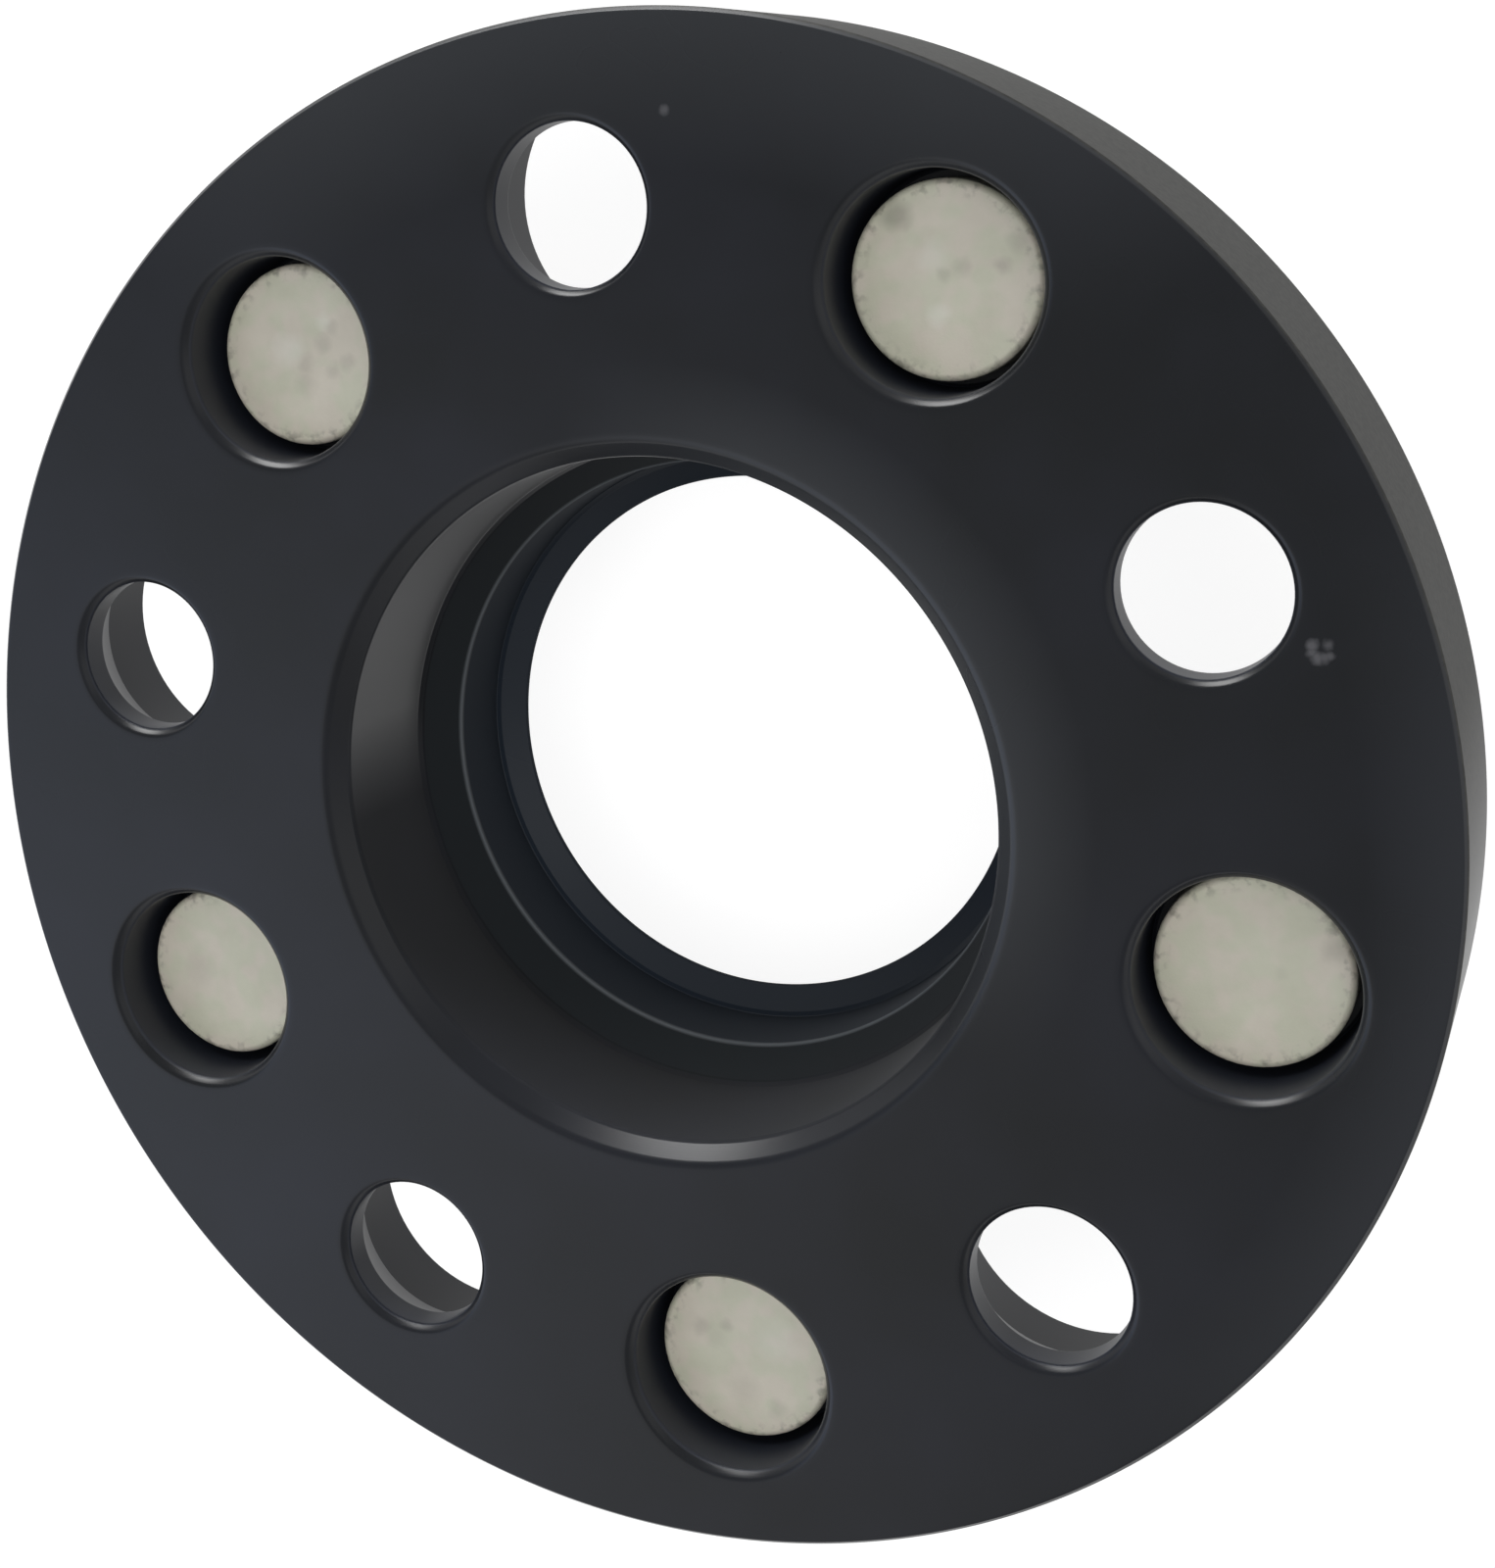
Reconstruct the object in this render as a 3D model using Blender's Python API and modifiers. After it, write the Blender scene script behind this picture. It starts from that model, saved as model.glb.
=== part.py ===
"""Bolt-on, hub-centric wheel spacer: one turned aluminium plate and five press-in wheel studs.

The hub side faces up and the spacer stands on the tips of its studs, so z = 0 is the plane of the
tips and the Z axis is the axis of the centre bore. All sizes are in metres.
"""

import math

import bpy

# Bolt circle, shared by the open lug holes and the studs between them
BOLT_CIRCLE_DIAMETER = 0.1143
BOLT_COUNT = 5

# Plate
PLATE_THICKNESS = 0.020
RIM_WALL = 0.00365
HUB_SIDE_EDGE = 0.0004
WHEEL_SIDE_EDGE = 0.0012

# Centre bore, from the hub side down to the end of the lip
REGISTER_DIAMETER = 0.0671
REGISTER_MOUTH = 0.0018
REGISTER_WEB = 0.0045
TAPER_ANGLE = math.radians(32)
SHOULDER_WIDTH = 0.0006
SHOULDER_CONE_ANGLE = math.radians(60)
END_RING_DEPTH = 0.0020
END_RING_WALL = 0.0058

# Hub-centric lip on the wheel side
LIP_LENGTH = 0.010
LIP_WALL = 0.0028
LIP_LEAD_IN = 0.0015
LIP_FIT_CLEARANCE = 0.00005

# Open lug holes: the hub's own studs come up through them, and conical nuts sit in the pockets
LUG_HOLE_DIAMETER = 0.0154
LUG_HOLE_EDGE = 0.0006
LUG_LAND_DEPTH = 0.0033
NUT_SEAT_WIDTH = 0.0030
NUT_SEAT_ANGLE = math.radians(30)
NUT_POCKET_DIAMETER = 0.0274
NUT_POCKET_EDGE = 0.0012

# Press-in studs
HEAD_DIAMETER = 0.0181
HEAD_THICKNESS = 0.0050
HEAD_ROUNDING = 0.0007
HEAD_UNDERCUT_EDGE = 0.0004
HEAD_SINK = 0.0050
KNURL_DIAMETER = 0.0131
KNURL_TOOTH_DEPTH = 0.0005
KNURL_TEETH = 24
NECK_LENGTH = 0.0008
KNURL_SETBACK = 0.0012
THREAD_DIAMETER = 0.0120
THREAD_LEAD_IN = 0.0012
PILOT_LENGTH = 0.0020
PILOT_EDGE = 0.0004
STUD_REACH = 0.0280

# Fits between a stud and the plate
HEAD_POCKET_GAP = 0.0010
HEAD_POCKET_EDGE = 0.0007
SEAT_GAP = 0.0003
KNURL_GAP = 0.0003
STUD_HOLE_EDGE = 0.0006

# How finely the round shapes are divided, and how far a cutter runs past the face it cuts
PLATE_STEPS = 100
HOLE_STEPS = 32
STUD_STEPS = 28
ROUNDING_PIECES = 3
OVERCUT = 0.002
SHARP_ANGLE = math.radians(31)
MERGE_DISTANCE = 0.00001

# Sizes that follow from the ones above
BOLT_CIRCLE_RADIUS = BOLT_CIRCLE_DIAMETER / 2
BOLT_PITCH = math.tau / BOLT_COUNT
FIRST_LUG_ANGLE = math.radians(90)
PLATE_RADIUS = BOLT_CIRCLE_RADIUS + NUT_POCKET_DIAMETER / 2 + RIM_WALL
WHEEL_FACE_Z = STUD_REACH
HUB_FACE_Z = WHEEL_FACE_Z + PLATE_THICKNESS
LIP_END_Z = WHEEL_FACE_Z - LIP_LENGTH
HEAD_SEAT_Z = HUB_FACE_Z - HEAD_SINK - HEAD_THICKNESS


def anodised_black():
    """Satin black anodised aluminium."""
    material = bpy.data.materials.new("anodised_black")
    material.use_nodes = True
    shader = material.node_tree.nodes["Principled BSDF"]
    shader.inputs["Base Color"].default_value = (0.021, 0.022, 0.026, 1)
    shader.inputs["Metallic"].default_value = 0.5
    shader.inputs["Roughness"].default_value = 0.42
    return material


def stud_steel():
    """Pale grey coated steel, matt."""
    material = bpy.data.materials.new("stud_steel")
    material.use_nodes = True
    shader = material.node_tree.nodes["Principled BSDF"]
    shader.inputs["Base Color"].default_value = (0.40, 0.39, 0.35, 1)
    shader.inputs["Metallic"].default_value = 0.7
    shader.inputs["Roughness"].default_value = 0.55
    return material


def clear_scene():
    for obj in list(bpy.data.objects):
        bpy.data.objects.remove(obj, do_unlink=True)


def new_collection(name):
    collection = bpy.data.collections.new(name)
    bpy.context.scene.collection.children.link(collection)
    return collection


def turned(name, profile, steps, collection, closed=False):
    """An object turned about Z from (radius, z) points that run down its outer side."""
    count = len(profile)
    edges = [(i, i + 1) for i in range(count - 1)]
    if closed:
        edges.append((count - 1, 0))
    mesh = bpy.data.meshes.new(name)
    mesh.from_pydata([(radius, 0, z) for radius, z in profile], edges, [])
    obj = bpy.data.objects.new(name, mesh)
    collection.objects.link(obj)
    screw = obj.modifiers.new("Turn", "SCREW")
    screw.axis = "Z"
    screw.angle = math.tau
    screw.steps = steps
    screw.render_steps = steps
    screw.use_merge_vertices = True
    screw.merge_threshold = MERGE_DISTANCE
    return obj


def as_helper(obj):
    obj.hide_render = True
    obj.display_type = "WIRE"


def finished_mesh(obj):
    """The mesh that an object's modifiers make, shaded smooth with its edges kept sharp."""
    bpy.context.view_layer.update()
    graph = bpy.context.evaluated_depsgraph_get()
    mesh = bpy.data.meshes.new_from_object(obj.evaluated_get(graph))
    mesh.shade_smooth()
    mesh.set_sharp_from_angle(angle=SHARP_ANGLE)
    return mesh


def at_bolt_circle(angle, z):
    return (BOLT_CIRCLE_RADIUS * math.cos(angle), BOLT_CIRCLE_RADIUS * math.sin(angle), z)


def lug_angles():
    return [FIRST_LUG_ANGLE - i * BOLT_PITCH for i in range(BOLT_COUNT)]


def stud_angles():
    """The studs stand half a pitch round from the lug holes."""
    return [angle - BOLT_PITCH / 2 for angle in lug_angles()]


def plate_profile():
    """The plate's section: rim, wheel face, lip, stepped bore and hub face."""
    register = REGISTER_DIAMETER / 2
    lip = register - LIP_FIT_CLEARANCE
    waist = lip - LIP_WALL
    shoulder = waist - SHOULDER_WIDTH
    end_bore = lip - END_RING_WALL
    taper_top = WHEEL_FACE_Z + REGISTER_WEB
    taper_end = taper_top - (register - waist) / math.tan(TAPER_ANGLE)
    shoulder_z = LIP_END_Z + END_RING_DEPTH
    cone_end = shoulder_z - (shoulder - end_bore) / math.tan(SHOULDER_CONE_ANGLE)
    return [
        (PLATE_RADIUS - HUB_SIDE_EDGE, HUB_FACE_Z),
        (PLATE_RADIUS, HUB_FACE_Z - HUB_SIDE_EDGE),
        (PLATE_RADIUS, WHEEL_FACE_Z + WHEEL_SIDE_EDGE),
        (PLATE_RADIUS - WHEEL_SIDE_EDGE, WHEEL_FACE_Z),
        (lip, WHEEL_FACE_Z),
        (lip, LIP_END_Z + LIP_LEAD_IN),
        (lip - LIP_LEAD_IN, LIP_END_Z),
        (end_bore, LIP_END_Z),
        (end_bore, cone_end),
        (shoulder, shoulder_z),
        (waist, shoulder_z),
        (waist, taper_end),
        (register, taper_top),
        (register, HUB_FACE_Z - REGISTER_MOUTH),
        (register + REGISTER_MOUTH, HUB_FACE_Z),
    ]


def lug_hole_profile():
    """A lug hole: bevelled mouth, short land, conical nut seat, and the pocket for nut and socket."""
    hole = LUG_HOLE_DIAMETER / 2
    seat = hole + NUT_SEAT_WIDTH
    pocket = NUT_POCKET_DIAMETER / 2
    mouth = hole + LUG_HOLE_EDGE + OVERCUT
    seat_top = HUB_FACE_Z - LUG_LAND_DEPTH
    pocket_floor = seat_top - NUT_SEAT_WIDTH / math.tan(NUT_SEAT_ANGLE)
    return [
        (0, HUB_FACE_Z + OVERCUT),
        (mouth, HUB_FACE_Z + OVERCUT),
        (hole, HUB_FACE_Z - LUG_HOLE_EDGE),
        (hole, seat_top),
        (seat, pocket_floor),
        (pocket, pocket_floor),
        (pocket, WHEEL_FACE_Z + NUT_POCKET_EDGE),
        (pocket + NUT_POCKET_EDGE + OVERCUT, WHEEL_FACE_Z - OVERCUT),
        (0, WHEEL_FACE_Z - OVERCUT),
    ]


def stud_hole_profile():
    """A stud's hole: a counterbore round the head, and the bore that grips the knurl."""
    pocket = HEAD_DIAMETER / 2 + HEAD_POCKET_GAP
    bore = KNURL_DIAMETER / 2 + KNURL_GAP
    floor = HEAD_SEAT_Z - SEAT_GAP
    return [
        (0, HUB_FACE_Z + OVERCUT),
        (pocket + HEAD_POCKET_EDGE + OVERCUT, HUB_FACE_Z + OVERCUT),
        (pocket, HUB_FACE_Z - HEAD_POCKET_EDGE),
        (pocket, floor),
        (bore, floor),
        (bore, WHEEL_FACE_Z + STUD_HOLE_EDGE),
        (bore + STUD_HOLE_EDGE + OVERCUT, WHEEL_FACE_Z - OVERCUT),
        (0, WHEEL_FACE_Z - OVERCUT),
    ]


def stud_profile():
    """A stud's section with z = 0 at the underside of its head, from the crown to the tip."""
    head = HEAD_DIAMETER / 2
    thread = THREAD_DIAMETER / 2
    pilot = thread - THREAD_LEAD_IN
    tip = -HEAD_SEAT_Z
    points = [(0, HEAD_THICKNESS)]
    for i in range(ROUNDING_PIECES + 1):
        angle = math.pi / 2 * i / ROUNDING_PIECES
        radius = head - HEAD_ROUNDING * (1 - math.sin(angle))
        points.append((radius, HEAD_THICKNESS - HEAD_ROUNDING * (1 - math.cos(angle))))
    points += [
        (head, HEAD_UNDERCUT_EDGE),
        (head - HEAD_UNDERCUT_EDGE, 0),
        (thread, 0),
        (thread, tip + PILOT_LENGTH + THREAD_LEAD_IN),
        (pilot, tip + PILOT_LENGTH),
        (pilot, tip + PILOT_EDGE),
        (pilot - PILOT_EDGE, tip),
        (0, tip),
    ]
    return points


def knurl(collection):
    """The straight-toothed band under the head, whose teeth are pressed into the plate."""
    length = HEAD_SEAT_Z - WHEEL_FACE_Z - NECK_LENGTH - KNURL_SETBACK
    bpy.ops.mesh.primitive_cone_add(
        vertices=2 * KNURL_TEETH,
        radius1=KNURL_DIAMETER / 2,
        radius2=KNURL_DIAMETER / 2,
        depth=length,
        location=(0, 0, -NECK_LENGTH - length / 2),
    )
    band = bpy.context.object
    band.name = "knurl_band"
    for owner in list(band.users_collection):
        owner.objects.unlink(band)
    collection.objects.link(band)
    root = 1 - 2 * KNURL_TOOTH_DEPTH / KNURL_DIAMETER
    tooth_pitch = math.pi / KNURL_TEETH
    for vertex in band.data.vertices:
        turn = round(math.atan2(vertex.co.y, vertex.co.x) / tooth_pitch)
        if turn % 2:
            vertex.co.x *= root
            vertex.co.y *= root
    as_helper(band)
    return band


def make_plate(parts, cutters):
    plate = turned("spacer_plate", plate_profile(), PLATE_STEPS, parts, closed=True)
    for i, angle in enumerate(lug_angles(), 1):
        cutter = turned(f"lug_hole_cutter_{i}", lug_hole_profile(), HOLE_STEPS, cutters)
        cutter.location = at_bolt_circle(angle, 0)
        as_helper(cutter)
    for i, angle in enumerate(stud_angles(), 1):
        cutter = turned(f"stud_hole_cutter_{i}", stud_hole_profile(), HOLE_STEPS, cutters)
        cutter.location = at_bolt_circle(angle, 0)
        as_helper(cutter)
    drill = plate.modifiers.new("Drill and counterbore", "BOOLEAN")
    drill.operation = "DIFFERENCE"
    drill.operand_type = "COLLECTION"
    drill.collection = cutters
    drill.solver = "EXACT"
    return plate


def make_studs(parts, construction):
    """Five studs that share one mesh, each pressed in from the hub side."""
    blank = turned("stud_blank", stud_profile(), STUD_STEPS, construction)
    as_helper(blank)
    join = blank.modifiers.new("Knurl", "BOOLEAN")
    join.operation = "UNION"
    join.object = knurl(construction)
    join.solver = "EXACT"
    mesh = finished_mesh(blank)
    mesh.name = "wheel_stud"
    studs = []
    for i, angle in enumerate(stud_angles(), 1):
        stud = bpy.data.objects.new(f"wheel_stud_{i}", mesh)
        stud.location = at_bolt_circle(angle, HEAD_SEAT_Z)
        parts.objects.link(stud)
        studs.append(stud)
    return studs


def main():
    clear_scene()
    parts = new_collection("wheel_spacer")
    cutters = new_collection("cutters")
    construction = new_collection("construction")

    plate = make_plate(parts, cutters)
    plate.data = finished_mesh(plate)
    plate.modifiers.clear()
    plate.data.materials.append(anodised_black())

    studs = make_studs(parts, construction)
    studs[0].data.materials.append(stud_steel())

    spacer = bpy.data.objects.new("wheel_spacer", None)
    parts.objects.link(spacer)
    for piece in [plate, *studs]:
        piece.parent = spacer


main()
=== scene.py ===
# %% [markdown]
# A wheel spacer, seen from its hub side. It is a thick ring of aluminium, turned on a lathe, drilled,
# and anodised black. Five steel wheel studs are pressed in from this side, so their round heads sit
# in pockets, and the five open holes between them let the hub's own studs through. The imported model
# gives the true sizes as a coarse solid. This script dresses it: smooth round walls with small
# rounded edges, rolled threads, and the finishes.

import math

import bmesh
import bpy
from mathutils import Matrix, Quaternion, Vector


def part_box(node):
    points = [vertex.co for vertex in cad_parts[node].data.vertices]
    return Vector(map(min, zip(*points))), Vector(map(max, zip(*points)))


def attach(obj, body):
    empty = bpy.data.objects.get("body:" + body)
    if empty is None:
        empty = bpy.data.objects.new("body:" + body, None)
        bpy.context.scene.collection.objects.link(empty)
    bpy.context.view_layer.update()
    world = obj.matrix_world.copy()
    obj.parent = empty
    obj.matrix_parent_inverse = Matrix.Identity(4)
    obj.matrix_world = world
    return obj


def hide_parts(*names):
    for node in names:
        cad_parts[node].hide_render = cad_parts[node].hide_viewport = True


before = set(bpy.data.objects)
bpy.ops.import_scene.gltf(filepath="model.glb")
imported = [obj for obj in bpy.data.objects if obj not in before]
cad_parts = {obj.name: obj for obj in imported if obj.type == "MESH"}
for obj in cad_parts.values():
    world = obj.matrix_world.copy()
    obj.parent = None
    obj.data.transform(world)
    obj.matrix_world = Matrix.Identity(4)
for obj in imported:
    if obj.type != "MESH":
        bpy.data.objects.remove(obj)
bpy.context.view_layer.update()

# %% [markdown]
# All sizes are read in metres, but a machinist thinks in millimetres, so one constant turns one into
# the other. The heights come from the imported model: the spacer stands on its stud tips, its hub face
# is on top, and the stud centres are the middles of the stud nodes. The first lug hole is at the +Y
# side, and the others follow clockwise.

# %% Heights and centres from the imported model
MM = 0.001
HOLES = 5
PLATE_THICKNESS = 20 * MM
FIRST_LUG_DEGREES, LUG_STEP_DEGREES = 90, 72
STUD_NODES = [f"wheel_stud_{i + 1}" for i in range(HOLES)]

plate_low, plate_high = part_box("spacer_plate")
PLATE_RADIUS = plate_high.x
HUB_FACE = plate_high.z
LIP_END = plate_low.z
WHEEL_FACE = HUB_FACE - PLATE_THICKNESS

stud_boxes = [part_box(node) for node in STUD_NODES]
STUD_CENTRES = [((low + high) / 2).xy for low, high in stud_boxes]
HEAD_RADIUS = (stud_boxes[0][1].x - stud_boxes[0][0].x) / 2
HEAD_TOP = stud_boxes[0][1].z
BOLT_RADIUS = STUD_CENTRES[0].length
lug_angles = [math.radians(FIRST_LUG_DEGREES - LUG_STEP_DEGREES * i) for i in range(HOLES)]
LUG_CENTRES = [BOLT_RADIUS * Vector((math.cos(a), math.sin(a))) for a in lug_angles]
print(f"plate radius {PLATE_RADIUS / MM:.2f} mm, hub face at {HUB_FACE / MM:.1f} mm")
print(f"bolt circle {2 * BOLT_RADIUS / MM:.1f} mm, heads {2 * HEAD_RADIUS / MM:.1f} mm across")

# %% [markdown]
# The photograph was taken from above the hub side, a little to the right of it. Ten hole centres and
# the outline give the camera's place and lens. The frame is a part of a wider picture, so the lens
# is shifted down a little, and the camera is rolled until the first lug hole is at the upper left.

# %% Camera
CAMERA_PLACE = Vector((95.86, 53.40, 246.01)) * MM
CAMERA_AIM = Vector((13.68, 26.09, 48.0)) * MM
CAMERA_ROLL = math.radians(-114.32)
CAMERA_LENS = 54.50
CAMERA_SHIFT = -0.1625
CAMERA_NEAREST = 10 * MM

camera = bpy.data.objects.new("camera", bpy.data.cameras.new("camera"))
bpy.context.scene.collection.objects.link(camera)
camera.data.lens = CAMERA_LENS
camera.data.shift_y = CAMERA_SHIFT
camera.data.clip_start = CAMERA_NEAREST
camera.location = CAMERA_PLACE
aim = (CAMERA_AIM - CAMERA_PLACE).to_track_quat("-Z", "Y")
camera.rotation_mode = "QUATERNION"
camera.rotation_quaternion = aim @ Quaternion((0, 0, 1), CAMERA_ROLL)
bpy.context.scene.camera = camera
print(f"camera {(CAMERA_AIM - CAMERA_PLACE).length / MM:.0f} mm from the point that it aims at")

# %% [markdown]
# A turned part is drawn as a section: points at (radius, height). No machined corner is truly sharp,
# because the maker breaks every edge, and that small round is what catches the light. So each corner
# of the section is replaced by a short arc that is tangent to both of its sides. A Bevel modifier
# could do the same, but here the size of every round is wanted, and it differs from edge to edge.

# %% Round the corners of a section
ARC_PIECES, CROWN_PIECES = 4, 6
NEARLY_STRAIGHT = 1e-3


def rounded(section, pieces=ARC_PIECES):
    """(radius, height, corner round) points in mm become a smooth line of points in metres."""
    corners = [Vector((r, h)) for r, h, _ in section]
    line = [corners[0]]
    for i in range(1, len(section) - 1):
        corner, size = corners[i], section[i][2]
        back = (corners[i - 1] - corner).normalized()
        ahead = (corners[i + 1] - corner).normalized()
        half = back.angle(ahead) / 2
        if size == 0 or math.pi / 2 - half < NEARLY_STRAIGHT:
            line.append(corner)
            continue
        reach = size / math.tan(half)
        centre = corner + (back + ahead).normalized() * (size / math.sin(half))
        start = corner + back * reach - centre
        sweep = start.angle_signed(corner + ahead * reach - centre)
        for k in range(pieces + 1):
            turn = -sweep * k / pieces
            line.append(centre + Vector((start.x * math.cos(turn) - start.y * math.sin(turn),
                                         start.x * math.sin(turn) + start.y * math.cos(turn))))
    line.append(corners[-1])
    return [point * MM for point in line]


# %% Sweep a section round its axis
def skin(mesh, columns, jump=0):
    """Joins columns of points to faces, all the way round. The last column meets the first one
    jump rows higher up."""
    for k, near in enumerate(columns):
        far = columns[(k + 1) % len(columns)]
        lift = jump if k == len(columns) - 1 else 0
        top = len(far) - 1
        for i in range(len(near) - 1):
            low, high = min(i + lift, top), min(i + lift + 1, top)
            mesh.faces.new([near[i], near[i + 1], far[high]] + [far[low]] * (low < high))


def lathe(mesh, line, centre, steps):
    """Turns a line of (radius, height) points round a vertical axis, into an open wall."""
    columns = []
    for k in range(steps):
        out = Vector((math.cos(math.tau * k / steps), math.sin(math.tau * k / steps)))
        columns.append([mesh.verts.new((*(Vector(centre) + out * p.x), p.y)) for p in line])
    skin(mesh, columns)


# %% [markdown]
# The plate is one piece of metal. Its section runs over the outside, under the wheel side, round the
# lip, and up the stepped bore. The lug holes have a bevelled mouth, a short land, a conical seat
# for the nut, and a wide pocket for the socket. The stud holes have a pocket for the head and a
# close bore for the knurl. Each row below is one corner: its radius, its height and its round. The
# first and last rows lie in the flat faces, a little away from the edge, so that the rounded edge
# and the flat face meet without a seam. The bevels at the mouths have large rounds, because the
# photograph shows them as soft.

# %% Sections of the plate, in mm
outer = PLATE_RADIUS / MM
hub, wheel, lip_end = HUB_FACE / MM, WHEEL_FACE / MM, LIP_END / MM
register, lip, waist, shoulder, end_bore = 33.55, 33.50, 30.70, 30.10, 27.70
lug, cone_end, nut_pocket = 7.7, 10.7, 13.7
cone_top, cone_floor = hub - 3.3, hub - 8.5
head_pocket, knurl_hole = HEAD_RADIUS / MM + 1.0, 6.60
head_height, gap_under_head = 5.0, 0.02
head_seat = HEAD_TOP / MM - head_height
pocket_floor = head_seat - gap_under_head

RIM_SECTION = [(outer - 0.8, hub, 0), (outer - 0.4, hub, 0.2), (outer, hub - 0.4, 0.2),
               (outer, wheel + 1.2, 0.3), (outer - 1.2, wheel, 0.3), (outer - 1.6, wheel, 0)]
BORE_SECTION = [(register + 2.6, hub, 0), (register + 1.8, hub, 1.2), (register, hub - 1.8, 0.6),
                (register, wheel + 4.5, 0.3), (waist, wheel - 0.06, 0.35),
                (waist, lip_end + 2.0, 0.12), (shoulder, lip_end + 2.0, 0.15),
                (end_bore, lip_end + 0.6, 0.25), (end_bore, lip_end, 0.15),
                (lip - 1.5, lip_end, 0.25), (lip, lip_end + 1.5, 0.3), (lip, wheel, 0.3),
                (lip + 0.5, wheel, 0)]
LUG_SECTION = [(9.0, hub, 0), (8.3, hub, 0.6), (lug, hub - 0.6, 0.6), (lug, cone_top, 0.25),
               (cone_end, cone_floor, 0.3), (nut_pocket, cone_floor, 0.5),
               (nut_pocket, wheel + 1.2, 0.25), (14.9, wheel, 0.25), (15.3, wheel, 0)]
STUD_HOLE_SECTION = [(head_pocket + 1.5, hub, 0), (head_pocket + 0.7, hub, 0.7),
                     (head_pocket, hub - 0.7, 0.7), (head_pocket, pocket_floor, 0.4),
                     (knurl_hole, pocket_floor, 0.15), (knurl_hole, wheel + 0.6, 0.1),
                     (7.2, wheel, 0.1), (7.5, wheel, 0)]
print(f"register {2 * register:.1f} mm, lip {2 * lip:.1f} mm, lug holes {2 * lug:.1f} mm across")

# %% [markdown]
# A Boolean could cut the holes, but it leaves ragged slivers beside round edges. Instead every wall
# is swept as an open surface, and then the two flat faces are filled in between their rings, so that
# faces and walls share the same points. The fill makes long thin triangles, so a Weighted Normal
# modifier lets the large flat faces decide the shading, and the flats stay flat up to their rounds.

# %% Build the plate
PLATE_STEPS, HOLE_STEPS = 384, 96
PLATE_SHARP, STUD_SHARP = math.radians(50), math.radians(60)
SAME_HEIGHT, SAME_POINT = 0.001 * MM, 0.0005 * MM


def rings_at(mesh, height):
    """The open edges that lie in one flat face of the plate."""
    return [e for e in mesh.edges if e.is_boundary
            and all(abs(v.co.z - height) < SAME_HEIGHT for v in e.verts)]


def finished(mesh, name, keep_angle):
    """A bmesh becomes an object, shaded smooth, whose large flats stay flat beside their rounds."""
    bmesh.ops.remove_doubles(mesh, verts=mesh.verts, dist=SAME_POINT)
    bmesh.ops.recalc_face_normals(mesh, faces=mesh.faces)
    data = bpy.data.meshes.new(name)
    mesh.to_mesh(data)
    mesh.free()
    data.shade_smooth()
    data.set_sharp_from_angle(angle=keep_angle)
    piece = bpy.data.objects.new(name, data)
    bpy.context.scene.collection.objects.link(piece)
    weigh = piece.modifiers.new("Flat faces stay flat", "WEIGHTED_NORMAL")
    weigh.keep_sharp = True
    return piece


def turned_plate():
    mesh = bmesh.new()
    lathe(mesh, rounded(RIM_SECTION), (0, 0), PLATE_STEPS)
    lathe(mesh, rounded(BORE_SECTION), (0, 0), PLATE_STEPS)
    for centre in LUG_CENTRES:
        lathe(mesh, rounded(LUG_SECTION), centre, HOLE_STEPS)
    for centre in STUD_CENTRES:
        lathe(mesh, rounded(STUD_HOLE_SECTION), centre, HOLE_STEPS)
    for height in (HUB_FACE, WHEEL_FACE):
        rings = rings_at(mesh, height)
        bmesh.ops.triangle_fill(mesh, edges=rings, use_beauty=True, normal=(0, 0, 1))
    return finished(mesh, "turned_plate", PLATE_SHARP)


plate = turned_plate()
print("turned_plate:", len(plate.data.polygons), "faces")

# %% [markdown]
# A wheel stud is cold-headed from one steel blank, and its knurl and thread are rolled between hard
# dies. Rolling squeezes metal outwards, so the knurl's teeth stand prouder than the shank, and the
# thread fades out into it. A Screw modifier could wind a thread, but it would end in a sawn-off step.
# Here the stud's wall is one sheet of points round the axis, whose radius is worked out from the
# height and the turn. For the thread, each row of points climbs by one pitch in one turn, so that
# the crests run along edges of the mesh and stay crisp.

# %% Sizes of a stud, in mm
STUD_STEPS = 72
SHANK = 6.0
NECK_END, KNURL_END = 37.2, 29.2
KNURL_VALLEY, KNURL_TIP, KNURL_TEETH = 6.05, 6.55, 24
KNURL_ROW = 0.2
TOOTH_STEEPNESS = 3
THREAD_TOP, THREAD_LOW = 27.0, 2.0
PITCH, THREAD_DEPTH, RUN_OUT = 1.5, 0.92, 1.6
# the groove's wave is stretched and cut off at both ends, which flattens crests and roots
GROOVE_STRETCH, CREST_CUT = 1.35, 0.15
PILOT, PILOT_EDGE = 4.8, 0.4
ROWS_PER_PITCH = 10


def knurl_radius(height, turn):
    """Straight teeth along the shank, bevelled at both ends."""
    phase = turn * KNURL_TEETH % 1
    tooth = min(1, TOOTH_STEEPNESS * min(phase, 1 - phase))
    bevel = SHANK + min(NECK_END - height, height - KNURL_END)
    return min(bevel, KNURL_VALLEY + (KNURL_TIP - KNURL_VALLEY) * tooth)


def thread_radius(height, turn):
    """Rolled thread, which fades out upwards into the shank and has a lead-in at its lower end."""
    phase = (height / PITCH - turn) % 1
    groove = 0.5 + 0.5 * math.cos(math.tau * phase)
    groove = min(1, max(0, GROOVE_STRETCH * groove - CREST_CUT))
    fade = min(1, (THREAD_TOP - height) / RUN_OUT)
    lead_in = PILOT + (height - THREAD_LOW)
    return min(lead_in, SHANK - THREAD_DEPTH * fade * groove)


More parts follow.
